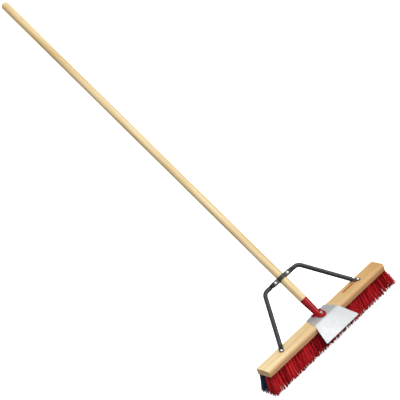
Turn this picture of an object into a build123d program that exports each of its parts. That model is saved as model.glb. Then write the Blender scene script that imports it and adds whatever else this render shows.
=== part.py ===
from build123d import *
import os
from math import cos, radians, sin, tan

# Push broom: a hardwood block with staple-set bristle rows, a red cast socket that holds a long
# wooden handle, a black tubular brace clamped to the handle, and a sheet-steel scraper.
# Frame in mm: +X along the block, -Y is the sweeping (scraper) side, +Z is up.
# The origin is the centre of the plane of the bristle tips.

# ---- block ----
BLOCK_LENGTH = 609.6
BLOCK_WIDTH = 62.0
BLOCK_THICKNESS = 22.0
BRISTLE_TRIM = 76.0
BLOCK_FRONT_ROUND = 12.0
BLOCK_REAR_ROUND = 8.5
BLOCK_CORNER_ROUND = 7.0

# ---- handle ----
HANDLE_ANGLE = 46.5
HANDLE_FOOT_Y = 14.0
HANDLE_RADIUS = 14.3
HANDLE_SEAT_RADIUS = 14.25
HANDLE_LENGTH = 1516.0
HANDLE_SEAT_END = 200.0
HANDLE_EDGE = 1.0
HANDLE_TIP_ROUND = 9.5

# ---- cast socket ----
SOCKET_MOUTH = 68.0
SOCKET_MOUTH_RADIUS = 14.2
SOCKET_FOOT_RADIUS = 11.0
SOCKET_SINK = 20.0
SOCKET_BORE_MOUTH_RADIUS = 12.5
SOCKET_BORE_FOOT_RADIUS = 9.2
SOCKET_BORE_FOOT = 13.9
SOCKET_RIM_ROUND = 0.8
FLANGE_THICKNESS = 6.5
FLANGE_LENGTH = 45.0
FLANGE_WIDTH = 32.0
FLANGE_Y = 4.0
FLANGE_TOP_ROUND = 3.2
LUG_THICKNESS = 2.6
LUG_RADIUS = 5.0
LUG_ROUND = 0.8

# ---- scraper ----
SCRAPER_SHEET = 1.5
SCRAPER_REAR_Y = 28.4
SCRAPER_ANGLE = 34.0
SCRAPER_BLADE_LENGTH = 71.5
SCRAPER_REAR_HALF = 47.0
SCRAPER_BEND_HALF = 59.5
SCRAPER_TIP_HALF = 84.0
SCRAPER_BEND_GAP = 0.3
SCRAPER_CORNER_ROUND = 2.5

# ---- brace ----
BRACE_HEIGHT = 170.0
BRACE_TUBE_RADIUS = 7.7
BRACE_TUBE_WALL = 1.2
BRACE_FLAT = 3.0
BRACE_SADDLE_WIDTH = 18.0
BRACE_TAB_WIDTH = 15.5
BRACE_BEND_HALF = 86.0
BRACE_BEND_RADIUS = 28.0
BRACE_EAR_END = 41.0
BRACE_ROUND_START = 55.0
BRACE_TAB_LENGTH = 20.6
BRACE_TAB_LOFT = 8.0
BRACE_TAB_OFFSET = 5.7
BRACE_EAR_OFFSET = 4.5

# ---- clamp strap and its fasteners ----
STRAP_THICKNESS = 2.0
STRAP_WIDTH = 15.0
STRAP_HALF = 39.0
STRAP_CORNER_ROUND = 3.0
CLAMP_BOLT_X = 31.0
CLAMP_BOLT_RADIUS = 2.5
CLAMP_BOLT_REACH = 14.5
CLAMP_BOLT_HEAD_RADIUS = 5.4
CLAMP_BOLT_HEAD_HEIGHT = 3.2
CLAMP_WASHER_RADIUS = 6.0
CLAMP_WASHER_THICKNESS = 1.2
WING_HUB_RADIUS = 4.6
WING_HUB_TOP_RADIUS = 3.7
WING_HUB_HEIGHT = 5.6
WING_REACH = 11.6
WING_HEIGHT = 10.0
WING_THICKNESS = 2.0
WING_FOOT = 0.6
WING_TIP_FOOT = 4.2
WING_TIP_INSIDE = 7.0
WING_NECK = 3.4
WING_NECK_HEIGHT = 5.0
WING_TIP_ROUND = 1.9

# ---- screws and bolt in the block ----
BRACE_SCREW_X = 202.6
BRACE_SCREW_Y = 2.5
BRACE_SCREW_RADIUS = 2.2
BRACE_SCREW_HEAD_RADIUS = 4.9
SOCKET_BOLT_Y = -2.5
SOCKET_BOLT_RADIUS = 3.0
SOCKET_BOLT_HEX = 10.0
SOCKET_BOLT_HEAD_HEIGHT = 5.0
SOCKET_BOLT_CROWN_RADIUS = 6.2
SOCKET_BOLT_CROWN_HEIGHT = 5.5
SOCKET_WASHER_RADIUS = 6.3
SOCKET_WASHER_THICKNESS = 1.5
SOCKET_SCREW_X = 19.0
SOCKET_SCREW_Y = 22.8
SOCKET_SCREW_RADIUS = 2.1
SOCKET_SCREW_HEAD_RADIUS = 4.0
SCREW_HEAD_HEIGHT = 3.0
SCREW_DEPTH = 11.5
DRIVE_SLOT_WIDTH = 1.2
DRIVE_SLOT_DEPTH = 1.2
DRIVE_SLOT_SPAN = 1.1

# ---- tufts and staples ----
TUFT_ROWS = 5
TUFT_ROW_PITCH = 12.0
TUFT_SPAN = 594.0
TUFT_COLUMNS = 46
TUFT_ROOT_RADIUS = 4.0
TUFT_ROOT_DEPTH = 8.0
TUFT_HOLE_DEPTH = 9.5
ROW_ROOT_HALF = 4.5
ROW_TIP_HALF = 5.4
ROW_SPREAD = 1.2
ROW_ROOT_LENGTH = 602.0
ROW_TIP_LENGTH = 612.0
STAPLE_LENGTH = 6.0
STAPLE_WIDTH = 1.2
STAPLE_DEPTH = 1.0

# ---- clearances, and how far a cutter runs past what it cuts ----
RUNNING_GAP = 0.3
FIT_GAP = 0.05
OVERRUN = 1.0
DRILL_LENGTH = 40.0

# ---- derived places ----
BLOCK_TOP = BRISTLE_TRIM + BLOCK_THICKNESS
SCREW_TIP = BLOCK_TOP - SCREW_DEPTH
SCRAPER_TOP = BLOCK_TOP + SCRAPER_SHEET
FLANGE_TOP = SCRAPER_TOP + FLANGE_THICKNESS
LUG_TOP = SCRAPER_TOP + LUG_THICKNESS
SCRAPER_BEND_ROUND = BLOCK_FRONT_ROUND + SCRAPER_SHEET / 2
SCRAPER_BEND_Y = (BLOCK_FRONT_ROUND - BLOCK_WIDTH / 2 - SCRAPER_BEND_GAP
                  - SCRAPER_BEND_ROUND * tan(radians(SCRAPER_ANGLE / 2)))
SCRAPER_TIP_Y = SCRAPER_BEND_Y - SCRAPER_BLADE_LENGTH * cos(radians(SCRAPER_ANGLE))
SCRAPER_DROP = SCRAPER_BLADE_LENGTH * sin(radians(SCRAPER_ANGLE))
HANDLE_START = SOCKET_BORE_FOOT + RUNNING_GAP
HANDLE_SHOULDER = SOCKET_MOUTH + RUNNING_GAP
HANDLE_END = HANDLE_START + HANDLE_LENGTH
CLAMP_RADIUS = HANDLE_SEAT_RADIUS + RUNNING_GAP
NUT_SEAT = BRACE_FLAT + CLAMP_WASHER_THICKNESS

# The handle's frame: local Z runs up the handle, local +Y is behind it, local X is the block's X.
handle_plane = Plane(
    origin=(0, HANDLE_FOOT_Y, BLOCK_TOP),
    x_dir=(1, 0, 0),
    z_dir=(0, cos(radians(HANDLE_ANGLE)), sin(radians(HANDLE_ANGLE))),
)
tilt = handle_plane.location


def rod(radius, height, base=(0, 0, 0)):
    """An upright cylinder that stands on its base point."""
    return Pos(*base) * extrude(Circle(radius), amount=height)


def drilled(body, radius, x, y):
    """The body with a fitting hole for a screw of this radius, from the screw's tip upwards."""
    return body - rod(radius + FIT_GAP, DRILL_LENGTH, (x, y, SCREW_TIP))


def back_rod(radius, start, end, x):
    """A cylinder along the handle frame's local Y, at the height of the brace."""
    plane = Plane(origin=(x, start, BRACE_HEIGHT), x_dir=(1, 0, 0), z_dir=(0, 1, 0))
    return plane.location * extrude(Circle(radius), amount=end - start)


def revolved(points):
    """A solid of revolution about Z from (radius, height) points."""
    profile = Polyline(*[(r, 0, z) for r, z in points], close=True)
    return revolve(make_face(profile), axis=Axis.Z, revolution_arc=360)


# ---- handle and socket ----
def make_handle():
    """A round shaft with a tapered tenon in the socket and a rounded upper end."""
    shaft = revolved([
        (0, HANDLE_START),
        (SOCKET_BORE_FOOT_RADIUS - RUNNING_GAP, HANDLE_START),
        (SOCKET_BORE_MOUTH_RADIUS - RUNNING_GAP, HANDLE_SHOULDER),
        (HANDLE_SEAT_RADIUS - HANDLE_EDGE, HANDLE_SHOULDER),
        (HANDLE_SEAT_RADIUS, HANDLE_SHOULDER + HANDLE_EDGE),
        (HANDLE_SEAT_RADIUS, HANDLE_SEAT_END),
        (HANDLE_RADIUS, HANDLE_SEAT_END + HANDLE_EDGE),
        (HANDLE_RADIUS, HANDLE_END),
        (0, HANDLE_END),
    ])
    tip_edge = shaft.edges().filter_by(GeomType.CIRCLE).sort_by(Axis.Z)[-1]
    return tilt * fillet(tip_edge, HANDLE_TIP_ROUND)


def make_sleeve():
    """The socket's tapered outside, sunk below the block's top until the flange cuts it."""
    slope = (SOCKET_MOUTH_RADIUS - SOCKET_FOOT_RADIUS) / SOCKET_MOUTH
    low_radius = SOCKET_FOOT_RADIUS - slope * SOCKET_SINK
    sleeve = revolved([(0, -SOCKET_SINK), (low_radius, -SOCKET_SINK),
                       (SOCKET_MOUTH_RADIUS, SOCKET_MOUTH), (0, SOCKET_MOUTH)])
    rim = sleeve.edges().filter_by(GeomType.CIRCLE).sort_by(Axis.Z)[-1]
    return tilt * fillet(rim, SOCKET_RIM_ROUND)


def make_bore():
    return tilt * revolved([
        (0, SOCKET_BORE_FOOT),
        (SOCKET_BORE_FOOT_RADIUS, SOCKET_BORE_FOOT),
        (SOCKET_BORE_MOUTH_RADIUS, SOCKET_MOUTH),
        (SOCKET_BORE_MOUTH_RADIUS, SOCKET_MOUTH + OVERRUN),
        (0, SOCKET_MOUTH + OVERRUN),
    ])


def cast_plate(outline, thickness, edge_round):
    """A plate that lies on the scraper, with its top edge rounded."""
    plate = Pos(0, 0, SCRAPER_TOP) * extrude(outline, amount=thickness)
    return fillet(plate.faces().sort_by(Axis.Z)[-1].edges(), edge_round)


def make_socket():
    """A thick oval flange with two thin rear lugs, and the sleeve rising from it."""
    oval = Pos(0, FLANGE_Y) * Rot(0, 0, 90) * SlotOverall(FLANGE_LENGTH, FLANGE_WIDTH)
    foot = cast_plate(oval, FLANGE_THICKNESS, FLANGE_TOP_ROUND)
    lugs = [Pos(side * SOCKET_SCREW_X, SOCKET_SCREW_Y) * Circle(LUG_RADIUS) for side in (-1, 1)]
    centre = Pos(0, FLANGE_Y) * Circle(SOCKET_FOOT_RADIUS)
    lug_outline = make_hull((centre + lugs).edges())
    lug_plate = cast_plate(lug_outline, LUG_THICKNESS, LUG_ROUND)
    cut_size = 4 * (FLANGE_LENGTH + SOCKET_SINK)
    below = Pos(0, 0, SCRAPER_TOP - cut_size / 2) * Box(cut_size, cut_size, cut_size)
    body = foot + lug_plate + (make_sleeve() - below) - make_bore()
    body = drilled(body, SOCKET_BOLT_RADIUS, 0, SOCKET_BOLT_Y)
    for side in (-1, 1):
        body = drilled(body, SOCKET_SCREW_RADIUS, side * SOCKET_SCREW_X, SOCKET_SCREW_Y)
    return body


# ---- block and bristle rows ----
def row_y(row):
    """The root line of a bristle row, from the front row 0 to the rear row."""
    return (row - (TUFT_ROWS - 1) / 2) * TUFT_ROW_PITCH


def tuft_places(row):
    """Tuft roots of one row; every other row has one tuft fewer over the same span."""
    count = TUFT_COLUMNS - row % 2
    return [((i / (count - 1) - 0.5) * TUFT_SPAN, row_y(row)) for i in range(count)]


def block_section():
    """The block's cross-section in YZ, with its two long top edges rounded."""
    centre = Pos(0, BRISTLE_TRIM + BLOCK_THICKNESS / 2)
    section = Plane.YZ * centre * Rectangle(BLOCK_WIDTH, BLOCK_THICKNESS)
    top = section.vertices().group_by(Axis.Z)[-1].sort_by(Axis.Y)
    section = fillet(top[0], BLOCK_FRONT_ROUND)
    top = section.vertices().group_by(Axis.Z)[-1].sort_by(Axis.Y)
    return fillet(top[-1], BLOCK_REAR_ROUND)


def make_block():
    """The rounded bar, with tuft holes from below and screw holes from above."""
    bar = Pos(-BLOCK_LENGTH / 2, 0, 0) * extrude(block_section(), amount=BLOCK_LENGTH, dir=(1, 0, 0))
    outline = RectangleRounded(BLOCK_LENGTH, BLOCK_WIDTH, BLOCK_CORNER_ROUND)
    block = bar & Pos(0, 0, BRISTLE_TRIM) * extrude(outline, amount=BLOCK_THICKNESS)
    hole_radius = TUFT_ROOT_RADIUS + FIT_GAP
    depth = TUFT_HOLE_DEPTH + OVERRUN
    block -= [rod(hole_radius, depth, (x, y, BRISTLE_TRIM - OVERRUN))
              for row in range(TUFT_ROWS) for x, y in tuft_places(row)]
    block = drilled(block, SOCKET_BOLT_RADIUS, 0, SOCKET_BOLT_Y)
    for side in (-1, 1):
        block = drilled(block, SOCKET_SCREW_RADIUS, side * SOCKET_SCREW_X, SOCKET_SCREW_Y)
        block = drilled(block, BRACE_SCREW_RADIUS, side * BRACE_SCREW_X, BRACE_SCREW_Y)
    return block


def make_row(row):
    """One bristle row: a slab that widens towards its tips, with a root peg for each tuft."""
    root = row_y(row)
    root_plane = Plane.XY.offset(BRISTLE_TRIM)
    roots = root_plane * Pos(0, root) * Rectangle(ROW_ROOT_LENGTH, 2 * ROW_ROOT_HALF)
    tips = Pos(0, root * ROW_SPREAD) * Rectangle(ROW_TIP_LENGTH, 2 * ROW_TIP_HALF)
    slab = loft([tips, roots])
    pegs = [rod(TUFT_ROOT_RADIUS, TUFT_ROOT_DEPTH + OVERRUN, (x, y, BRISTLE_TRIM - OVERRUN))
            for x, y in tuft_places(row)]
    return slab + pegs


def make_staples():
    """The flat wire anchors that hold the tufts, one above each tuft's fold."""
    height = BRISTLE_TRIM + TUFT_ROOT_DEPTH + STAPLE_DEPTH / 2 + FIT_GAP
    staple = Box(STAPLE_LENGTH, STAPLE_WIDTH, STAPLE_DEPTH)
    anchors = [Pos(x, y, height) * staple for row in range(TUFT_ROWS) for x, y in tuft_places(row)]
    return Compound(children=anchors)


# ---- scraper ----
def scraper_plan():
    """The sheet's outline from above, wider towards the scraping edge."""
    right = [(SCRAPER_REAR_HALF, SCRAPER_REAR_Y), (SCRAPER_BEND_HALF, SCRAPER_BEND_Y),
             (SCRAPER_TIP_HALF, SCRAPER_TIP_Y)]
    left = [(-x, y) for x, y in reversed(right)]
    plan = make_face(Polyline(*right, *left, close=True))
    corners = plan.vertices().group_by(Axis.Y)
    return fillet(corners[0] + corners[-1], SCRAPER_CORNER_ROUND)


def make_scraper():
    """A sheet bent over the block's front edge, clear of it by a small gap."""
    mid = BLOCK_TOP + SCRAPER_SHEET / 2
    tip_z = mid - SCRAPER_DROP
    path = FilletPolyline((0, SCRAPER_REAR_Y, mid), (0, SCRAPER_BEND_Y, mid),
                          (0, SCRAPER_TIP_Y, tip_z), radius=SCRAPER_BEND_ROUND)
    start = Plane(origin=(0, SCRAPER_REAR_Y, mid), x_dir=(1, 0, 0), z_dir=(0, -1, 0))
    sheet = sweep(start * Rectangle(4 * SCRAPER_TIP_HALF, SCRAPER_SHEET), path=path)
    trim = Pos(0, 0, tip_z - SCRAPER_DROP) * extrude(scraper_plan(), amount=3 * SCRAPER_DROP)
    scraper = drilled(sheet & trim, SOCKET_BOLT_RADIUS, 0, SOCKET_BOLT_Y)
    for side in (-1, 1):
        scraper = drilled(scraper, SOCKET_SCREW_RADIUS, side * SOCKET_SCREW_X, SOCKET_SCREW_Y)
    return scraper


# ---- brace ----
def half_ring(inner, outer, width, back):
    """Half of a band round the handle, behind it (back=1) or in front of it (back=-1)."""
    band = extrude(Circle(outer) - Circle(inner), amount=width)
    keep = Pos(0, back * outer, width / 2) * Box(4 * outer, 2 * outer, 2 * width)
    return Pos(0, 0, BRACE_HEIGHT - width / 2) * (band & keep)


def ear(start, end, thickness, width, back):
    """A flat ear beside the handle, from x=start to x=end, against the clamp's middle plane."""
    box = Box(end - start, thickness, width)
    return Pos((start + end) / 2, back * thickness / 2, BRACE_HEIGHT) * box


def brace_points():
    """Points of the right arm's centreline: tube start, upper bend, end of the tube; and the screw."""
    axis_y = BRACE_FLAT / 2 + BRACE_EAR_OFFSET
    tube_start = (tilt * Pos(BRACE_ROUND_START, axis_y, BRACE_HEIGHT)).position
    upper = (tilt * Pos(BRACE_BEND_HALF, axis_y, BRACE_HEIGHT)).position
    screw = Vector(BRACE_SCREW_X, BRACE_SCREW_Y, BLOCK_TOP + BRACE_FLAT / 2)
    inward = Vector(upper.X - screw.X, upper.Y - screw.Y, 0).normalized()
    tube_end = screw + inward * BRACE_TAB_LENGTH + Vector(0, 0, BRACE_TAB_OFFSET)
    return tube_start, upper, tube_end, screw


def brace_tab(tube_end, down, screw):
    """The crushed end of the right arm: from the round tube to a flat tab under the screw."""
    outward = Vector(screw.X - tube_end.X, screw.Y - tube_end.Y, 0).normalized()
    across = Vector(0, 0, 1).cross(outward)
    flat_start = screw - outward * (BRACE_TAB_LENGTH - BRACE_TAB_LOFT)
    round_plane = Plane(origin=tube_end, x_dir=across, z_dir=down)
    flat_plane = Plane(origin=flat_start, x_dir=across, z_dir=outward)
    crushed = loft([round_plane * Circle(BRACE_TUBE_RADIUS),
                    flat_plane * SlotOverall(BRACE_TAB_WIDTH, BRACE_FLAT)])
    strip = extrude(flat_plane * Rectangle(BRACE_TAB_WIDTH, BRACE_FLAT),
                    amount=BRACE_TAB_LENGTH - BRACE_TAB_LOFT)
    tab_end = rod(BRACE_TAB_WIDTH / 2, BRACE_FLAT, (BRACE_SCREW_X, BRACE_SCREW_Y, BLOCK_TOP))
    return crushed + strip + tab_end


def brace_arm():
    """The right arm: round tube that ends in a flat tab on the block."""
    tube_start, upper, tube_end, screw = brace_points()
    tube_path = FilletPolyline(tube_start, upper, tube_end, radius=BRACE_BEND_RADIUS)
    ring = Circle(BRACE_TUBE_RADIUS) - Circle(BRACE_TUBE_RADIUS - BRACE_TUBE_WALL)
    start_plane = Plane(origin=tube_start, x_dir=handle_plane.z_dir, z_dir=(1, 0, 0))
    tube = sweep(start_plane * ring, path=tube_path)
    arm = tube + brace_tab(tube_end, (tube_end - upper).normalized(), screw)
    return drilled(arm, BRACE_SCREW_RADIUS, BRACE_SCREW_X, BRACE_SCREW_Y)


def brace_middle():
    """The flattened middle: a saddle behind the handle and an ear on each side of it."""
    saddle = half_ring(CLAMP_RADIUS, CLAMP_RADIUS + BRACE_FLAT, BRACE_SADDLE_WIDTH, 1)
    right = ear(CLAMP_RADIUS, BRACE_EAR_END, BRACE_FLAT, BRACE_SADDLE_WIDTH, 1)
    flat_plane = Plane(origin=(BRACE_EAR_END, BRACE_FLAT / 2, BRACE_HEIGHT), x_dir=(0, 0, 1),
                       z_dir=(1, 0, 0))
    round_plane = Pos(0, BRACE_EAR_OFFSET, 0) * flat_plane.offset(BRACE_ROUND_START - BRACE_EAR_END)
    right += loft([flat_plane * SlotOverall(BRACE_SADDLE_WIDTH, BRACE_FLAT),
                   round_plane * Circle(BRACE_TUBE_RADIUS)])
    right -= back_rod(CLAMP_BOLT_RADIUS + FIT_GAP, -OVERRUN, BRACE_FLAT + OVERRUN, CLAMP_BOLT_X)
    return tilt * (saddle + right + mirror(right, about=Plane.YZ))


def make_brace():
    arm = brace_arm()
    return brace_middle() + arm + mirror(arm, about=Plane.YZ)


def make_strap():
    """The front half of the clamp: a hoop over the handle with an ear on each side."""
    hoop = half_ring(CLAMP_RADIUS, CLAMP_RADIUS + STRAP_THICKNESS, STRAP_WIDTH, -1)
    right = ear(CLAMP_RADIUS, STRAP_HALF, STRAP_THICKNESS, STRAP_WIDTH, -1)
    outer_corners = right.edges().filter_by(Axis.Y).group_by(Axis.X)[-1]
    right = fillet(outer_corners, STRAP_CORNER_ROUND)
    right -= back_rod(CLAMP_BOLT_RADIUS + FIT_GAP, -STRAP_THICKNESS - OVERRUN, OVERRUN, CLAMP_BOLT_X)
    return tilt * (hoop + right + mirror(right, about=Plane.YZ))


# ---- fasteners ----
def domed_head(radius, height):
    """A round head with a domed top, standing on Z = 0."""
    sphere_radius = (radius ** 2 + height ** 2) / (2 * height)
    dome = Pos(0, 0, height - sphere_radius) * Sphere(sphere_radius)
    return dome & rod(radius, height + OVERRUN)


def cross_drive(head, radius, height):
    """Cut a cross drive into a head."""
    bar = Box(DRIVE_SLOT_SPAN * radius, DRIVE_SLOT_WIDTH, 2 * DRIVE_SLOT_DEPTH)
    for angle in (0, 90):
        head -= Pos(0, 0, height) * Rot(0, 0, angle) * bar
    return head


def wood_screw(x, y, seat, shank, head_radius):
    """A cross-drive pan-head screw, with its head on the height seat."""
    head = cross_drive(domed_head(head_radius, SCREW_HEAD_HEIGHT), head_radius, SCREW_HEAD_HEIGHT)
    return Pos(x, y, seat) * head + rod(shank, seat - SCREW_TIP, (x, y, SCREW_TIP))


def make_socket_bolt():
    """The front bolt: a hexagonal head with rounded corners over its washer."""
    seat = FLANGE_TOP + SOCKET_WASHER_THICKNESS
    hexagon = RegularPolygon(SOCKET_BOLT_HEX / 2, 6, major_radius=False)
    head = extrude(hexagon, amount=SOCKET_BOLT_HEAD_HEIGHT)
    head &= domed_head(SOCKET_BOLT_CROWN_RADIUS, SOCKET_BOLT_CROWN_HEIGHT)
    shank = rod(SOCKET_BOLT_RADIUS, seat - SCREW_TIP, (0, SOCKET_BOLT_Y, SCREW_TIP))
    return Pos(0, SOCKET_BOLT_Y, seat) * head + shank


def make_socket_washer():
    washer = rod(SOCKET_WASHER_RADIUS, SOCKET_WASHER_THICKNESS, (0, SOCKET_BOLT_Y, FLANGE_TOP))
    return drilled(washer, SOCKET_BOLT_RADIUS, 0, SOCKET_BOLT_Y)


def make_clamp_bolt(x):
    """A round-head bolt through strap and brace, head in front of the handle."""
    front = Plane(origin=(x, -STRAP_THICKNESS, BRACE_HEIGHT), x_dir=(1, 0, 0), z_dir=(0, -1, 0))
    head = front.location * domed_head(CLAMP_BOLT_HEAD_RADIUS, CLAMP_BOLT_HEAD_HEIGHT)
    return tilt * (head + back_rod(CLAMP_BOLT_RADIUS, -STRAP_THICKNESS, CLAMP_BOLT_REACH, x))


def make_clamp_washer(x):
    washer = back_rod(CLAMP_WASHER_RADIUS, BRACE_FLAT, NUT_SEAT, x)
    hole = back_rod(CLAMP_BOLT_RADIUS + FIT_GAP, BRACE_FLAT - OVERRUN, NUT_SEAT + OVERRUN, x)
    return tilt * (washer - hole)


def wing_outline():
    """One wing of the nut in a plane through the bolt: radius across, height along the bolt."""
    points = [(0, WING_FOOT), (WING_HUB_RADIUS, WING_FOOT), (WING_REACH, WING_TIP_FOOT),
              (WING_REACH, WING_HEIGHT), (WING_TIP_INSIDE, WING_HEIGHT),
              (WING_NECK, WING_HUB_HEIGHT), (0, WING_NECK_HEIGHT)]
    wing = make_face(Polyline(*points, close=True))
    tips = wing.vertices().group_by(Axis.X)[-1]
    return fillet(tips, WING_TIP_ROUND)


def make_wing_nut(x):
    """A wing nut behind the brace, its wings in line with the ear that it clamps."""
    hub = revolved([(0, 0), (WING_HUB_RADIUS, 0), (WING_HUB_TOP_RADIUS, WING_HUB_HEIGHT),
                    (0, WING_HUB_HEIGHT)])
    wing = Plane.XZ * wing_outline()
    wing = Pos(0, WING_THICKNESS / 2, 0) * extrude(wing, amount=WING_THICKNESS)
    nut = hub + wing + mirror(wing, about=Plane.YZ)
    nut -= rod(CLAMP_BOLT_RADIUS + FIT_GAP, DRILL_LENGTH, (0, 0, -OVERRUN))
    seat = Plane(origin=(x, NUT_SEAT + RUNNING_GAP, BRACE_HEIGHT), x_dir=(1, 0, 0), z_dir=(0, 1, 0))
    return tilt * seat.location * nut


def main():
    os.makedirs("parts", exist_ok=True)
    pieces = {
        "handle": make_handle(),
        "handle_socket": make_socket(),
        "brush_block": make_block(),
        "scraper_blade": make_scraper(),
        "brace": make_brace(),
        "clamp_strap": make_strap(),
        "socket_bolt_front": make_socket_bolt(),
        "socket_bolt_washer": make_socket_washer(),
        "tuft_staples": make_staples(),
    }
    for name, side in (("left", -1), ("right", 1)):
        clamp_x = side * CLAMP_BOLT_X
        pieces[f"clamp_bolt_{name}"] = make_clamp_bolt(clamp_x)
        pieces[f"clamp_washer_{name}"] = make_clamp_washer(clamp_x)
        pieces[f"wing_nut_{name}"] = make_wing_nut(clamp_x)
        pieces[f"brace_screw_{name}"] = wood_screw(
            side * BRACE_SCREW_X, BRACE_SCREW_Y, BLOCK_TOP + BRACE_FLAT,
            BRACE_SCREW_RADIUS, BRACE_SCREW_HEAD_RADIUS)
        pieces[f"socket_screw_{name}"] = wood_screw(
            side * SOCKET_SCREW_X, SOCKET_SCREW_Y, LUG_TOP,
            SOCKET_SCREW_RADIUS, SOCKET_SCREW_HEAD_RADIUS)
    row_names = ("red_row_front", "red_row_second", "red_row_middle", "dark_row_fourth", "dark_row_rear")
    for row, name in enumerate(row_names):
        pieces[name] = make_row(row)
    for name, shape in pieces.items():
        export_step(shape, f"parts/{name}.step")


main()
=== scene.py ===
import math

import bpy
import numpy as np
from mathutils import Matrix, Vector


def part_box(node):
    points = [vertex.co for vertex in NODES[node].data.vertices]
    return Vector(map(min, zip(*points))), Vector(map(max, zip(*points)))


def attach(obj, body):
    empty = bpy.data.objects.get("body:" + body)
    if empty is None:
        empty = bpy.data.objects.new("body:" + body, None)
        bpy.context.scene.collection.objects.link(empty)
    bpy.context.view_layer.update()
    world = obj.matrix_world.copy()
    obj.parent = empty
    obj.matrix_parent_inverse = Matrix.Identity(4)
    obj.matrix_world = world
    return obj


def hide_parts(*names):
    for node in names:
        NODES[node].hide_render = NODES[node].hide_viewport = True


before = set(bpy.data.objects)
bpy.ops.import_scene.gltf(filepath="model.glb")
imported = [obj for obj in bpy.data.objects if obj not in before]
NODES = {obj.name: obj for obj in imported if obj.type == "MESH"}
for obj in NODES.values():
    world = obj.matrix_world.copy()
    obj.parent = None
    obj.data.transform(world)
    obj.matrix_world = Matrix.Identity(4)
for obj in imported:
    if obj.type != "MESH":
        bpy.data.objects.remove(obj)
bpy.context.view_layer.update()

# Lengths are in metres.

# ---- the camera: a three-quarter front view from above, rolled ----
VIEW_AZIMUTH = math.radians(-35.41)
VIEW_ELEVATION = math.radians(26.72)
VIEW_ROLL = math.radians(-21.55)
VIEW_TARGET = Vector((0.0, 0.450, 0.548))
VIEW_ACROSS = 0.0515  # how far the camera aims to the right of the target, as it sees it
VIEW_UP = -0.0540  # how far it aims above the target
VIEW_DISTANCE = 5.1087
VIEW_CLIP = 100.0
VIEW_LENS = 136.26  # in millimetres, like the sensor's width
SENSOR = 36.0

# ---- the broom's own places ----
HANDLE_TILT = math.radians(46.5)
HANDLE_FOOT = (0.0, 0.014, 0.098)
BLOCK_LOW, BLOCK_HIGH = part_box("brush_block")
BLADE_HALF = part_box("scraper_blade")[1].x
FLOOR_Z = 0.0

# ---- bristles: their rows, front to rear ----
ROWS = ("red_row_front", "red_row_second", "red_row_middle", "dark_row_fourth", "dark_row_rear")
ROW_PITCH = 0.012
ROW_LEAN = 0.28  # lean of a row's tips along Y, for each metre from the middle row
ROW_SHIFTS = (0.0, 0.0, 0.0, -0.0025, 0.0015)  # a further lean along Y for each row
TUFT_SPAN = 0.594
TUFT_COLUMNS = 46
FIRST_SEED = 41

# ---- bristles: one tuft, which parts into strands of filaments ----
STRANDS = 7
FILAMENTS = 81
FILAMENT_RADIUS = 0.0005
FILAMENT_SIZES = (0.85, 1.15)  # thinnest and thickest, as shares of the radius
TIP_TAPER = 0.65
RINGS = 7
SIDES = 4
BRISTLE_LENGTH = 0.0788
ROOT_RADIUS = 0.0039
ROOT_INSET = 0.003  # how deep the filaments start inside the block
ROOT_Z = BLOCK_LOW.z + ROOT_INSET
TIP_REACH = 0.0064  # radius of a tuft at its tips
TIP_CLEARANCE = 0.0004
STRAND_REACH = 0.0024  # radius of a strand at its tips
STRAND_PLACE = 0.72  # where a strand's point lies, from the tuft's middle (0) to its rim (1)
LEAN_EASE = 1.2  # above 1, a filament leans more towards its tip than near its root

# ---- bristles: spread from tuft to tuft, strand to strand and filament to filament ----
STRAND_SPREAD = 0.0016
FILAMENT_SPREAD = 0.0006
BOW = 0.0007  # sideways bend at mid length
CRIMP = 0.00025  # random shift of each ring
TUFT_SHORT = 0.0013  # how much tufts, strands and filaments fall short of the full length
STRAND_SHORT = 0.0026
FILAMENT_SHORT = 0.0014
TUFT_TONES = (0.25, 0.75)  # tones run from 0 (dark) to 1 (light)
STRAND_TONE = 0.16
FILAMENT_TONE = 0.12

# ---- bristles: the fan at both ends of the block, and the filaments that stand out ----
FAN_START = 0.12  # tufts beyond this X fan out
RIGHT_FAN = 0.026  # lean of the last tuft's tips, to the right and to the left
LEFT_FAN = 0.008
FAN_SPREAD = 0.12  # how far the fan varies from strand to strand, as a share
END_COLUMN = 0.285  # tufts beyond this X are end tufts
END_SHORT = 0.4  # how much of the shortening end tufts keep
STRAY_SHARE = 0.03  # share of all filaments that stray, and how far
STRAY_REACH = 0.004
STRAY_FLARE = 0.010
WILD_SHARE = 0.07  # share of the right end's filaments that curl outwards, forwards and up
WILD_FORWARD = 0.015
WILD_SHORT = 0.024
TIP_LOW_X = -0.316  # no tip lies further out than these
TIP_HIGH_X = 0.330

# ---- bristles: painted shadow of the scraper blade, and painted shade near the roots ----
BLADE_PAINTED_SHADOW = 0.40
BLADE_MARGIN = 0.015  # width over which the shade fades, on each side of the blade
ROOT_PAINTED_SHADE = -0.6
ROOT_DEPTH = 0.022  # length over which the shade fades, down from the roots

# ---- wood ----
WAVE_PERIOD = 0.314  # spacing of the wave texture's rings at a scale of 1

# ---- light: each sun's name, where it shines from, its angle in degrees and its strength ----
SUNS = (
    ("overhead_key", (0.45, -0.25, 0.857), 100.0, 1.55),
    ("left_key", (-0.75, -0.10, 0.65), 70.0, 0.75),
    ("front_fill", (-0.30, -0.85, 0.42), 90.0, 0.45),
    ("gloss_accent", (0.40, -0.66, 0.63), 22.0, 0.95),
    ("rear_fill", (0.25, 0.95, 0.18), 90.0, 0.6),
)
WORLD_ABOVE = 0.5
WORLD_BELOW = 0.12
WORLD_DIM_HEIGHT = -0.4  # the world is at its dimmest from this height of the sky sphere down

# ---- studio ----
FLOOR_HALF = 30.0
FLOOR_GLOW = 0.6
DOME_RADIUS = 28.0
DOME_RINGS = 12
DOME_SIDES = 48
DOME_GLOW = 1.0

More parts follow.
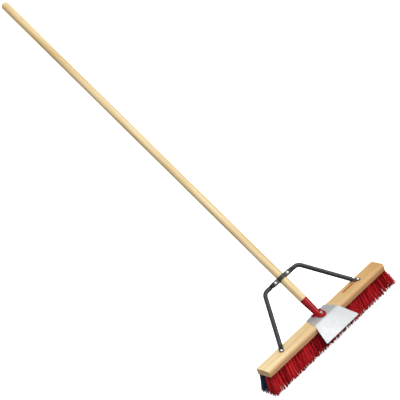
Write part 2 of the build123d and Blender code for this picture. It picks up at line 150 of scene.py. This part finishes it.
# ---- printed bar: two ends and half width of the bar, and of the dot beside it ----
INK_BAR = ((0.127, 0.0078), (0.177, 0.0078), 0.0040)
INK_DOT = ((0.1875, 0.0052), (0.1945, 0.0052), 0.0050)
INK_THICKNESS = 0.00012


# ---------------------------------------------------------------- helpers
def link_object(name, data):
    obj = bpy.data.objects.new(name, data)
    bpy.context.scene.collection.objects.link(obj)
    return obj


def mesh_object(name, verts, faces, smooth=True):
    mesh = bpy.data.meshes.new(name)
    mesh.from_pydata(verts, [], faces)
    mesh.polygons.foreach_set("use_smooth", [smooth] * len(mesh.polygons))
    mesh.update()
    return link_object(name, mesh)


class Shader:
    """A small builder for a procedural material round one Principled shader."""

    def __init__(self, name, **values):
        self.material = bpy.data.materials.new(name)
        self.material.use_nodes = True
        self.tree = self.material.node_tree
        self.shader = self.tree.nodes["Principled BSDF"]
        for key, value in values.items():
            self.shader.inputs[key.replace("_", " ")].default_value = value

    def add(self, kind, inputs=None, **settings):
        made = self.tree.nodes.new(kind)
        for key, value in settings.items():
            setattr(made, key, value)
        for key, value in (inputs or {}).items():
            if isinstance(value, bpy.types.NodeSocket):
                self.tree.links.new(value, made.inputs[key])
            else:
                made.inputs[key].default_value = value
        return made

    def coords(self, kind):
        return self.add("ShaderNodeTexCoord").outputs[kind]

    def moved(self, vector, offset=(0, 0, 0), scale=(1, 1, 1)):
        """A vector, moved by offset and then scaled."""
        shifted = self.add("ShaderNodeMapping", {"Vector": vector, "Location": offset})
        return self.add("ShaderNodeMapping", {"Vector": shifted.outputs[0], "Scale": scale}).outputs[0]

    def turned(self, vector, rotation):
        """A vector, turned by rotation about the three axes."""
        return self.add("ShaderNodeMapping", {"Vector": vector, "Rotation": rotation}).outputs[0]

    def along_handle(self):
        """Coordinates from the handle's foot, with the first axis up the handle."""
        foot = self.moved(self.coords("Object"), tuple(-c for c in HANDLE_FOOT))
        upright = self.turned(foot, (math.pi / 2 - HANDLE_TILT, 0, 0))
        return self.turned(upright, (0, math.pi / 2, 0))

    def split(self, vector):
        return self.add("ShaderNodeSeparateXYZ", {"Vector": vector}).outputs

    def noise(self, vector, scale, detail=4.0, roughness=0.55, distortion=0.0):
        made = self.add("ShaderNodeTexNoise", {
            "Vector": vector, "Scale": scale, "Detail": detail,
            "Roughness": roughness, "Distortion": distortion})
        return made.outputs["Fac"]

    def ramp(self, factor, stops):
        """A colour that runs through stops of (position, colour)."""
        made = self.add("ShaderNodeValToRGB", {"Fac": factor})
        ramp = made.color_ramp
        while len(ramp.elements) < len(stops):
            ramp.elements.new(0.5)
        for element, (position, colour) in zip(ramp.elements, stops):
            element.position = position
            element.color = (*colour, 1.0)
        return made.outputs["Color"]

    def spread(self, factor, low, high, start=0.0, end=1.0):
        """A value from low to high as factor goes from start to end, and held beyond them."""
        made = self.add("ShaderNodeMapRange", {
            "Value": factor, "From Min": start, "From Max": end, "To Min": low, "To Max": high})
        return made.outputs["Result"]

    def math(self, operation, a, b=0.0):
        return self.add("ShaderNodeMath", {0: a, 1: b}, operation=operation).outputs[0]

    def add_up(self, a, b):
        return self.math("ADD", a, b)

    def mix(self, factor, a, b):
        """Colour a where factor is 0 and colour b where it is 1."""
        made = self.add("ShaderNodeMix", data_type="RGBA")
        for socket, value in ((made.inputs[0], factor), (made.inputs[6], a), (made.inputs[7], b)):
            if isinstance(value, bpy.types.NodeSocket):
                self.tree.links.new(value, socket)
            elif isinstance(value, tuple):
                socket.default_value = (*value, 1.0)
            else:
                socket.default_value = value
        return made.outputs[2]

    def bump(self, height, strength, distance):
        made = self.add("ShaderNodeBump", {"Height": height, "Strength": strength, "Distance": distance})
        self.tree.links.new(made.outputs["Normal"], self.shader.inputs["Normal"])

    def drive(self, socket, value):
        self.tree.links.new(value, self.shader.inputs[socket])


# ---------------------------------------------------------------- materials
def wood_rings(s, coords, pitch, waver):
    """Growth rings round a line along the first axis of coords, wavering along it."""
    wave = s.add("ShaderNodeTexWave", {
        "Vector": coords, "Scale": WAVE_PERIOD / pitch, "Distortion": waver,
        "Detail": 3.0, "Detail Scale": 1.2, "Detail Roughness": 0.6,
    }, wave_type="RINGS", rings_direction="X", wave_profile="SIN")
    return wave.outputs["Fac"]


def handle_wood():
    """Pale lacquered hardwood with fine grain along the handle."""
    s = Shader("handle_wood_lacquer", Specular_IOR_Level=0.3, Coat_Weight=0.15, Coat_Roughness=0.28)
    axis = s.along_handle()
    rings = wood_rings(s, s.moved(axis, (0, 0.021, 0.013), (0.05, 1, 1)), 0.0042, 2.6)
    broad = s.noise(s.moved(axis, scale=(3.0, 60, 60)), 1.0, 4.0, 0.55, 0.3)
    streak = s.noise(s.moved(axis, scale=(5.0, 260, 260)), 1.0, 4.0, 0.6)
    fine = s.noise(s.moved(axis, scale=(40, 1600, 1600)), 1.0, 3.0, 0.7)
    colour = s.ramp(broad, [(0.34, (0.60, 0.415, 0.175)), (0.5, (0.73, 0.555, 0.285)),
                            (0.66, (0.83, 0.68, 0.41))])
    colour = s.mix(s.spread(rings, 0.0, 0.34, 0.55, 1.0), colour, (0.52, 0.33, 0.15))
    colour = s.mix(s.spread(streak, 0.0, 0.4, 0.54, 0.74), colour, (0.50, 0.325, 0.15))
    colour = s.mix(s.spread(fine, 0.0, 0.45, 0.60, 0.76), colour, (0.33, 0.20, 0.09))
    s.drive("Base Color", colour)
    s.drive("Roughness", s.spread(fine, 0.36, 0.52, 0.3, 0.7))
    s.bump(s.add_up(fine, s.math("MULTIPLY", rings, 0.4)), 0.2, 0.0003)
    return s.material


def block_wood():
    """Clear-coated hardwood, grain along the block, browner to the right, with end grain, and painted
    shade with a painted red bounce on the front face.
    """
    s = Shader("block_wood_coated", Specular_IOR_Level=0.35, Coat_Weight=0.15, Coat_Roughness=0.32)
    coords = s.coords("Object")
    rings = wood_rings(s, s.moved(coords, (0, 0.018, -0.015), (0.07, 1, 1)), 0.0058, 3.2)
    broad = s.noise(s.moved(coords, scale=(3.0, 42, 42)), 1.0, 5.0, 0.6, 0.4)
    streak = s.noise(s.moved(coords, scale=(2.6, 95, 70)), 1.0, 4.0, 0.6, 0.5)
    fine = s.noise(s.moved(coords, scale=(26, 1300, 1300)), 1.0, 3.0, 0.7)
    toward_right = s.spread(s.split(coords)[0], 0.0, 1.0, BLOCK_LOW.x, BLOCK_HIGH.x)
    pale = s.ramp(broad, [(0.3, (0.70, 0.525, 0.268)), (0.7, (0.81, 0.67, 0.395))])
    tan = s.ramp(broad, [(0.3, (0.44, 0.232, 0.067)), (0.7, (0.585, 0.347, 0.114))])
    colour = s.mix(toward_right, pale, tan)
    colour = s.mix(s.spread(rings, 0.0, 0.26, 0.55, 1.0), colour, (0.47, 0.26, 0.095))
    colour = s.mix(s.spread(streak, 0.0, 0.4, 0.56, 0.72), colour, (0.48, 0.24, 0.085))
    colour = s.mix(s.spread(fine, 0.0, 0.5, 0.60, 0.76), colour, (0.23, 0.12, 0.05))
    facing = s.split(s.coords("Normal"))
    # painted shade and painted red bounce light: faces turned to the front get a browner colour
    front = s.spread(facing[1], 0.0, 0.75, -0.25, -1.0)
    colour = s.mix(front, colour, (0.50, 0.235, 0.10))
    end_grain = s.spread(s.math("ABSOLUTE", facing[0]), 0.0, 0.6, 0.6, 0.9)
    end_rings = s.ramp(rings, [(0.3, (0.66, 0.42, 0.22)), (0.8, (0.36, 0.20, 0.085))])
    colour = s.mix(end_grain, colour, end_rings)
    s.drive("Base Color", colour)
    s.drive("Roughness", s.spread(fine, 0.42, 0.6, 0.3, 0.7))
    s.bump(s.add_up(fine, s.math("MULTIPLY", rings, 0.5)), 0.25, 0.0004)
    return s.material


def red_enamel():
    """Thick gloss red enamel over a casting, uneven in tone where it pooled."""
    s = Shader("red_enamel_gloss", Coat_Weight=0.35, Coat_Roughness=0.08, Specular_IOR_Level=0.0)
    plain = s.coords("Object")
    skin = s.noise(plain, 420.0, 3.0, 0.55)
    pooled = s.noise(plain, 60.0, 3.0, 0.5)
    s.drive("Base Color", s.ramp(pooled, [(0.3, (0.23, 0.002, 0.005)), (0.7, (0.38, 0.004, 0.009))]))
    s.drive("Roughness", s.spread(skin, 0.22, 0.4, 0.3, 0.7))
    s.bump(skin, 0.22, 0.0005)
    return s.material


def galvanised():
    """Bright galvanised sheet: faint spangle, rolling lines and scuffs, and a painted darker reflection
    towards the rear right.
    """
    s = Shader("galvanised_sheet", Metallic=0.8, Specular_IOR_Level=0.5)
    plain = s.coords("Object")
    spangle = s.add("ShaderNodeTexVoronoi", {"Vector": plain, "Scale": 170.0}, feature="F1")
    grey = s.split(spangle.outputs["Color"])[0]
    rolled = s.noise(s.moved(plain, scale=(900, 14, 14)), 1.0, 3.0, 0.6)
    scuff = s.noise(s.moved(plain, scale=(60, 500, 500)), 1.0, 4.0, 0.65)
    tone = s.ramp(grey, [(0.0, (0.60, 0.61, 0.62)), (1.0, (0.67, 0.675, 0.685))])
    cloud = s.noise(plain, 14.0, 3.0, 0.5)
    tone = s.mix(s.spread(cloud, 0.0, 0.3, 0.42, 0.62), tone, (0.47, 0.482, 0.488))
    # painted reflection: the sheet's tone darkens towards the rear right
    place = s.split(plain)
    toward_rear_right = s.add_up(place[0], place[1])
    tone = s.mix(s.spread(toward_rear_right, 0.0, 0.85, -0.13, 0.04), tone, (0.43, 0.445, 0.45))
    s.drive("Base Color", s.mix(s.spread(scuff, 0.0, 0.4, 0.52, 0.72), tone, (0.42, 0.43, 0.445)))
    s.drive("Roughness", s.add_up(s.spread(rolled, 0.28, 0.40, 0.3, 0.7), s.spread(grey, 0.0, 0.08)))
    s.bump(s.add_up(rolled, scuff), 0.12, 0.0002)
    return s.material


def zinc(name, low, high):
    """Zinc plate on fasteners, mottled between two tones."""
    s = Shader(name, Metallic=1.0)
    plain = s.coords("Object")
    mottle = s.noise(plain, 420.0, 4.0, 0.6)
    stain = s.noise(plain, 900.0, 3.0, 0.6)
    tone = s.ramp(mottle, [(0.3, low), (0.7, high)])
    s.drive("Base Color", s.mix(s.spread(stain, 0.0, 0.4, 0.58, 0.74), tone, (0.34, 0.31, 0.26)))
    s.drive("Roughness", s.spread(mottle, 0.16, 0.34, 0.3, 0.7))
    s.bump(mottle, 0.1, 0.0002)
    return s.material


def black_enamel():
    """Semi-gloss black paint on steel tube, with light orange peel and rubbed dusty patches."""
    s = Shader("black_enamel_paint", Coat_Weight=0.12, Coat_Roughness=0.25, Specular_IOR_Level=0.3)
    plain = s.coords("Object")
    peel = s.noise(plain, 620.0, 2.0, 0.5)
    wear = s.noise(plain, 70.0, 5.0, 0.6)
    rub = s.noise(plain, 260.0, 5.0, 0.7)
    tone = s.ramp(wear, [(0.3, (0.016, 0.016, 0.018)), (0.7, (0.034, 0.034, 0.037))])
    s.drive("Base Color", s.mix(s.spread(rub, 0.0, 0.5, 0.62, 0.80), tone, (0.085, 0.08, 0.075)))
    s.drive("Roughness", s.spread(wear, 0.3, 0.52, 0.3, 0.7))
    s.bump(s.add_up(peel, rub), 0.14, 0.0003)
    return s.material


def dark_screw():
    """Black oxide on the rear socket screws, rubbed through to grey in places."""
    s = Shader("black_oxide_screw", Metallic=0.8)
    mottle = s.noise(s.coords("Object"), 700.0, 4.0, 0.6)
    s.drive("Base Color", s.ramp(mottle, [(0.3, (0.02, 0.018, 0.017)), (0.6, (0.05, 0.045, 0.042)),
                                          (0.8, (0.16, 0.15, 0.14))]))
    s.drive("Roughness", s.spread(mottle, 0.35, 0.55, 0.3, 0.7))
    s.bump(mottle, 0.1, 0.0002)
    return s.material


def printed_ink():
    """Thin worn ink: rusty brown, with wood showing through where it has rubbed off."""
    s = Shader("worn_print_ink", Specular_IOR_Level=0.3)
    plain = s.coords("Object")
    rub = s.noise(s.moved(plain, scale=(300, 1200, 1200)), 1.0, 5.0, 0.7)
    blot = s.noise(plain, 150.0, 4.0, 0.6)
    ink = s.ramp(blot, [(0.3, (0.28, 0.055, 0.012)), (0.7, (0.50, 0.13, 0.035))])
    s.drive("Base Color", s.mix(s.spread(rub, 0.0, 0.6, 0.56, 0.70), ink, (0.62, 0.39, 0.17)))
    s.drive("Roughness", s.spread(rub, 0.5, 0.75, 0.3, 0.7))
    s.bump(rub, 0.2, 0.0002)
    return s.material


def bristle(name, dark, mid, light):
    """Extruded plastic filament, with painted shade towards its root; its tone attribute gives each
    filament its tone, which also holds the painted shadow of the scraper blade.
    """
    s = Shader(name, Specular_IOR_Level=0.28)
    plain = s.coords("Object")
    tone = s.add("ShaderNodeAttribute", attribute_name="tone").outputs["Fac"]
    ripple = s.noise(s.moved(plain, scale=(300, 300, 45)), 1.0, 3.0, 0.6)
    speckled = s.add_up(tone, s.spread(ripple, -0.22, 0.22, 0.3, 0.7))
    height = s.split(plain)[2]
    # painted shade: the tone falls towards the roots, where the block shades the filaments
    shade = s.add_up(speckled, s.spread(height, 0.0, ROOT_PAINTED_SHADE, ROOT_Z - ROOT_DEPTH, ROOT_Z))
    s.drive("Base Color", s.ramp(shade, [(0.0, dark), (0.5, mid), (1.0, light)]))
    s.drive("Roughness", s.spread(ripple, 0.38, 0.56, 0.3, 0.7))
    s.bump(ripple, 0.2, 0.0002)
    return s.material


# ---------------------------------------------------------------- bristles
def tuft_centres(row):
    """The X places of a row's tufts; every other row has one tuft fewer over the same span."""
    return np.linspace(-TUFT_SPAN / 2, TUFT_SPAN / 2, TUFT_COLUMNS - row % 2)


def fan(x):
    """How far bristle tips lean along X: strongly outwards near the right end, a little near the left."""
    span = BLOCK_HIGH.x - FAN_START
    right = np.clip((x - FAN_START) / span, 0, 1)
    left = np.clip((-x - FAN_START) / span, 0, 1)
    return RIGHT_FAN * right ** 2 - LEFT_FAN * left ** 3


def filament_ends(rng, row):
    """Roots, tips, shortening and tones of a row's filaments; a tuft parts into pointed strands."""
    centres = np.repeat(tuft_centres(row), FILAMENTS)
    count = len(centres)
    tufts = count // FILAMENTS
    strand = np.arange(FILAMENTS) % STRANDS

    def per_tuft(low, high):
        return np.repeat(rng.uniform(low, high, tufts), FILAMENTS)

    def per_strand(spread):
        return rng.normal(0, spread, (tufts, STRANDS))[:, strand].reshape(-1)

    # Each strand starts in its own sector of the tuft's hole and ends round its own point.
    sector = np.tile(strand, tufts) * 2 * math.pi / STRANDS + per_tuft(0, 2 * math.pi)
    turn = sector + rng.uniform(-0.5, 0.5, count) * 2 * math.pi / STRANDS
    reach = np.sqrt(rng.uniform(0, 1, count))
    y = (row - (len(ROWS) - 1) / 2) * ROW_PITCH
    roots = np.stack([centres + ROOT_RADIUS * reach * np.cos(turn),
                      y + ROOT_RADIUS * reach * np.sin(turn)], axis=1)
    middle = STRAND_PLACE * (TIP_REACH - STRAND_REACH)
    lean_x = fan(centres) * (1 + FAN_SPREAD * per_strand(1.0)) + per_strand(STRAND_SPREAD)
    lean_y = y * ROW_LEAN + ROW_SHIFTS[row] + per_strand(STRAND_SPREAD)
    tips = np.stack([centres + lean_x + middle * np.cos(sector) + STRAND_REACH * reach * np.cos(turn),
                     y + lean_y + middle * np.sin(sector) + STRAND_REACH * reach * np.sin(turn)], axis=1)
    tips += rng.normal(0, FILAMENT_SPREAD, tips.shape)

    # A few filaments stray to any side, and at the right end they flare; some there are wild.
    stray = rng.uniform(0, 1, count) < STRAY_SHARE
    tips += stray[:, None] * rng.normal(0, STRAY_REACH, tips.shape)
    right_end = centres > END_COLUMN
    flare = stray * right_end * rng.uniform(0, STRAY_FLARE, count)
    wild = (rng.uniform(0, 1, count) < WILD_SHARE) * right_end * rng.uniform(0, 1, count)
    tips[:, 0] = np.clip(tips[:, 0] + flare + wild * STRAY_FLARE, TIP_LOW_X, TIP_HIGH_X)
    tips[:, 1] -= wild * WILD_FORWARD

    short = per_tuft(0, 2 * TUFT_SHORT) + np.abs(per_strand(STRAND_SHORT))
    short += FILAMENT_SHORT * (rng.exponential(1.0, count) + reach ** 2)
    short *= np.where(np.abs(centres) > END_COLUMN, END_SHORT, 1.0)
    short += wild * WILD_SHORT

    tones = per_tuft(*TUFT_TONES) + per_strand(STRAND_TONE) + rng.normal(0, FILAMENT_TONE, count)
    # painted shadow of the scraper blade: tufts behind the blade get darker tones
    tones -= BLADE_PAINTED_SHADOW * np.clip((BLADE_HALF + BLADE_MARGIN - np.abs(centres)) / BLADE_MARGIN, 0, 1)
    return roots, tips, short, tones


def filament_paths(rng, row):
    """Centrelines of a row's filaments, from inside their holes down to their tips, and their tones."""
    roots, tips, short, tones = filament_ends(rng, row)
    count = len(roots)
    lateral = tips - roots
    drop = np.sqrt(np.maximum(BRISTLE_LENGTH ** 2 - (lateral ** 2).sum(axis=1), 0)) - short
    t = np.linspace(0, 1, RINGS)
    ease = t ** LEAN_EASE
    bow = rng.normal(0, BOW, (count, 2))
    path = np.empty((count, RINGS, 3))
    sway = np.sin(math.pi * t)
    for axis in (0, 1):
        path[:, :, axis] = (roots[:, axis, None] + lateral[:, axis, None] * ease
                            + bow[:, axis, None] * sway)
        path[:, 1:, axis] += rng.normal(0, CRIMP, (count, RINGS - 1))
    path[:, :, 2] = ROOT_Z - drop[:, None] * t
    path[:, :, 2] = np.maximum(path[:, :, 2], FLOOR_Z + TIP_CLEARANCE)
    return path, tones


def row_mesh(name, row, seed):
    """All filaments of one row as four-sided tubes, with a tone for each filament."""
    rng = np.random.default_rng(seed)
    path, tones = filament_paths(rng, row)
    count = len(path)
    angles = (np.arange(SIDES) + 0.5) * 2 * math.pi / SIDES
    outline = np.stack([np.cos(angles), np.sin(angles), np.zeros(SIDES)], axis=1)
    radius = FILAMENT_RADIUS * rng.uniform(*FILAMENT_SIZES, count)
    taper = np.ones(RINGS)
    taper[-1] = TIP_TAPER
    rings = outline * (radius[:, None] * taper)[:, :, None, None]
    verts = (path[:, :, None, :] + rings).reshape(-1, 3)

    # One filament's faces: its sides, ring by ring, and a cap at each end.
    per = RINGS * SIDES
    corner = np.arange(per - SIDES)
    following = (corner // SIDES) * SIDES + (corner + 1) % SIDES
    quads = np.stack([corner, corner + SIDES, following + SIDES, following], axis=1)
    caps = np.array([np.arange(SIDES), np.arange(per - 1, per - SIDES - 1, -1)])
    faces = (np.concatenate([quads, caps])[None] + (np.arange(count) * per)[:, None, None]).reshape(-1, 4)

    piece = mesh_object(name, verts, faces)
    tone = piece.data.attributes.new("tone", "FLOAT", "POINT")
    tone.data.foreach_set("value", np.repeat(np.clip(tones, 0, 1), per))
    return piece


def make_bristles():
    """Loose filaments in place of each bristle row's plain slab."""
    red = bristle("red_filament", (0.26, 0.003, 0.007), (0.68, 0.013, 0.021), (0.90, 0.045, 0.055))
    navy = bristle("navy_filament", (0.003, 0.006, 0.018), (0.008, 0.018, 0.050), (0.030, 0.065, 0.140))
    for row, node in enumerate(ROWS):
        piece = row_mesh(f"{node}_tufts", row, FIRST_SEED + row)
        is_red = node.startswith("red")
        piece.data.materials.append(red if is_red else navy)
        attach(piece, "head")
        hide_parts(node)


# ---------------------------------------------------------------- printed bar on the block
def stadium(start, end, half, segments=8):
    """The outline of a bar with round ends between two points."""
    along = math.atan2(end[1] - start[1], end[0] - start[0])
    points = []
    for centre, first in ((end, along - math.pi / 2), (start, along + math.pi / 2)):
        for i in range(segments + 1):
            angle = first + math.pi * i / segments
            points.append((centre[0] + half * math.cos(angle), centre[1] + half * math.sin(angle)))
    return points


def make_print():
    """A plain printed bar and dot, a film of ink on top of the block."""
    verts, faces = [], []
    top = BLOCK_HIGH.z + INK_THICKNESS
    for start, end, half in (INK_BAR, INK_DOT):
        outline = stadium(start, end, half)
        first, count = len(verts), len(outline)
        verts += [(x, y, BLOCK_HIGH.z) for x, y in outline] + [(x, y, top) for x, y in outline]
        faces.append([first + count + i for i in range(count)])
        faces.append([first + count - 1 - i for i in range(count)])
        for i in range(count):
            low, after = first + i, first + (i + 1) % count
            faces.append([low, after, after + count, low + count])
    piece = mesh_object("printed_bar", verts, faces, smooth=False)
    piece.data.materials.append(printed_ink())
    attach(piece, "head")


# ---------------------------------------------------------------- CAD nodes' finishes
def finish_cad_nodes():
    """Materials for the CAD nodes, which keep their own shapes."""
    zinc_plate = zinc("bright_zinc_plate", (0.66, 0.66, 0.63), (0.90, 0.90, 0.88))
    # painted reflection: the front socket bolt's dull zinc is tinted pink like the red flange it reflects
    dull_zinc_painted_reflection = zinc("dull_zinc_plate_painted_reflection", (0.36, 0.27, 0.25), (0.62, 0.50, 0.47))
    finishes = {
        "handle": handle_wood(), "brush_block": block_wood(), "handle_socket": red_enamel(),
        "scraper_blade": galvanised(), "brace": black_enamel(), "tuft_staples": zinc_plate,
        "socket_bolt_front": dull_zinc_painted_reflection, "socket_bolt_washer": dull_zinc_painted_reflection,
    }
    finishes["clamp_strap"] = finishes["brace"]
    dark = dark_screw()
    for side in ("left", "right"):
        for node in ("clamp_bolt", "clamp_washer", "wing_nut", "brace_screw"):
            finishes[f"{node}_{side}"] = zinc_plate
        finishes[f"socket_screw_{side}"] = dark
    for node, material in finishes.items():
        NODES[node].data.materials.clear()
        NODES[node].data.materials.append(material)


# ---------------------------------------------------------------- stage, light and camera
def pale_glow(name, cloud_scale, specular, glow):
    """A near-white studio surface that glows by itself, and the faint cloud pattern on it."""
    s = Shader(name, Specular_IOR_Level=specular, Emission_Strength=glow,
               Emission_Color=(1.0, 1.0, 1.0, 1.0))
    cloud = s.noise(s.coords("Object"), cloud_scale, 2.0, 0.5)
    s.drive("Base Color", s.ramp(cloud, [(0.3, (0.93, 0.93, 0.93)), (0.7, (0.95, 0.95, 0.95))]))
    return s, cloud


def make_stage():
    """A plain pale floor; the object takes its light from the lamps and the world, not from it."""
    s, cloud = pale_glow("studio_floor", 0.6, 0.1, FLOOR_GLOW)
    s.drive("Roughness", s.spread(cloud, 0.8, 0.9))
    corners = [(x * FLOOR_HALF, y * FLOOR_HALF, FLOOR_Z) for x, y in ((-1, -1), (1, -1), (1, 1), (-1, 1))]
    floor = mesh_object("studio_floor", corners, [(0, 1, 2, 3)], smooth=False)
    floor.data.materials.append(s.material)
    floor.visible_diffuse = False
    floor.visible_glossy = False


def make_backdrop():
    """A pale dome round the floor, seen by the camera alone, so that no horizon shows."""
    s, _ = pale_glow("studio_backdrop", 0.3, 0.0, DOME_GLOW)
    verts, faces = [], []
    for ring in range(DOME_RINGS + 1):
        lift = math.pi / 2 * ring / DOME_RINGS
        reach, height = DOME_RADIUS * math.cos(lift), DOME_RADIUS * math.sin(lift)
        for side in range(DOME_SIDES):
            turn = 2 * math.pi * side / DOME_SIDES
            verts.append((reach * math.cos(turn), reach * math.sin(turn), height))
    for low in range(0, DOME_RINGS * DOME_SIDES, DOME_SIDES):
        high = low + DOME_SIDES
        for side in range(DOME_SIDES):
            after = (side + 1) % DOME_SIDES
            faces.append((low + side, high + side, high + after, low + after))
    dome = mesh_object("studio_backdrop", verts, faces)
    dome.data.materials.append(s.material)
    for ray in ("diffuse", "glossy", "transmission", "volume_scatter", "shadow"):
        setattr(dome, f"visible_{ray}", False)


def soft_sun(name, source, angle, strength):
    """A distant soft light that shines from the direction of source."""
    data = bpy.data.lights.new(name, "SUN")
    data.angle = math.radians(angle)
    data.energy = strength
    link_object(name, data).rotation_euler = (-Vector(source)).to_track_quat("-Z", "Y").to_euler()


def make_world():
    """A soft surround, bright above and dim below."""
    world = bpy.data.worlds.new("studio_world")
    world.use_nodes = True
    tree = world.node_tree
    coords = tree.nodes.new("ShaderNodeTexCoord").outputs["Generated"]
    split = tree.nodes.new("ShaderNodeSeparateXYZ")
    ramp = tree.nodes.new("ShaderNodeMapRange")
    ramp.inputs["From Min"].default_value = WORLD_DIM_HEIGHT
    ramp.inputs["From Max"].default_value = 1.0
    ramp.inputs["To Min"].default_value = WORLD_BELOW
    ramp.inputs["To Max"].default_value = WORLD_ABOVE
    tree.links.new(coords, split.inputs[0])
    tree.links.new(split.outputs["Z"], ramp.inputs["Value"])
    tree.links.new(ramp.outputs[0], tree.nodes["Background"].inputs["Strength"])
    tree.nodes["Background"].inputs["Color"].default_value = (1, 1, 1, 1)
    bpy.context.scene.world = world


def make_lights():
    """All suns and the world."""
    for sun in SUNS:
        soft_sun(*sun)
    make_world()


def make_camera():
    """The camera, turned about its line of sight by the roll, and aimed a little off the target."""
    back = Vector((math.sin(VIEW_AZIMUTH) * math.cos(VIEW_ELEVATION),
                   -math.cos(VIEW_AZIMUTH) * math.cos(VIEW_ELEVATION), math.sin(VIEW_ELEVATION)))
    right = Vector((math.cos(VIEW_AZIMUTH), math.sin(VIEW_AZIMUTH), 0))
    up = back.cross(right)
    rolled_right = math.cos(VIEW_ROLL) * right + math.sin(VIEW_ROLL) * up
    rolled_up = math.cos(VIEW_ROLL) * up - math.sin(VIEW_ROLL) * right
    aim = VIEW_TARGET + VIEW_ACROSS * rolled_right + VIEW_UP * rolled_up
    data = bpy.data.cameras.new("camera")
    data.lens = VIEW_LENS
    data.sensor_width = SENSOR
    data.clip_end = VIEW_CLIP
    camera = link_object("camera", data)
    turn = Matrix((rolled_right, rolled_up, back)).transposed()
    camera.matrix_world = Matrix.Translation(aim + VIEW_DISTANCE * back) @ turn.to_4x4()
    bpy.context.scene.camera = camera


make_camera()
make_stage()
make_backdrop()
make_lights()
finish_cad_nodes()
make_bristles()
make_print()

bpy.context.scene.view_settings.view_transform = "Standard"
bpy.context.view_layer.update()
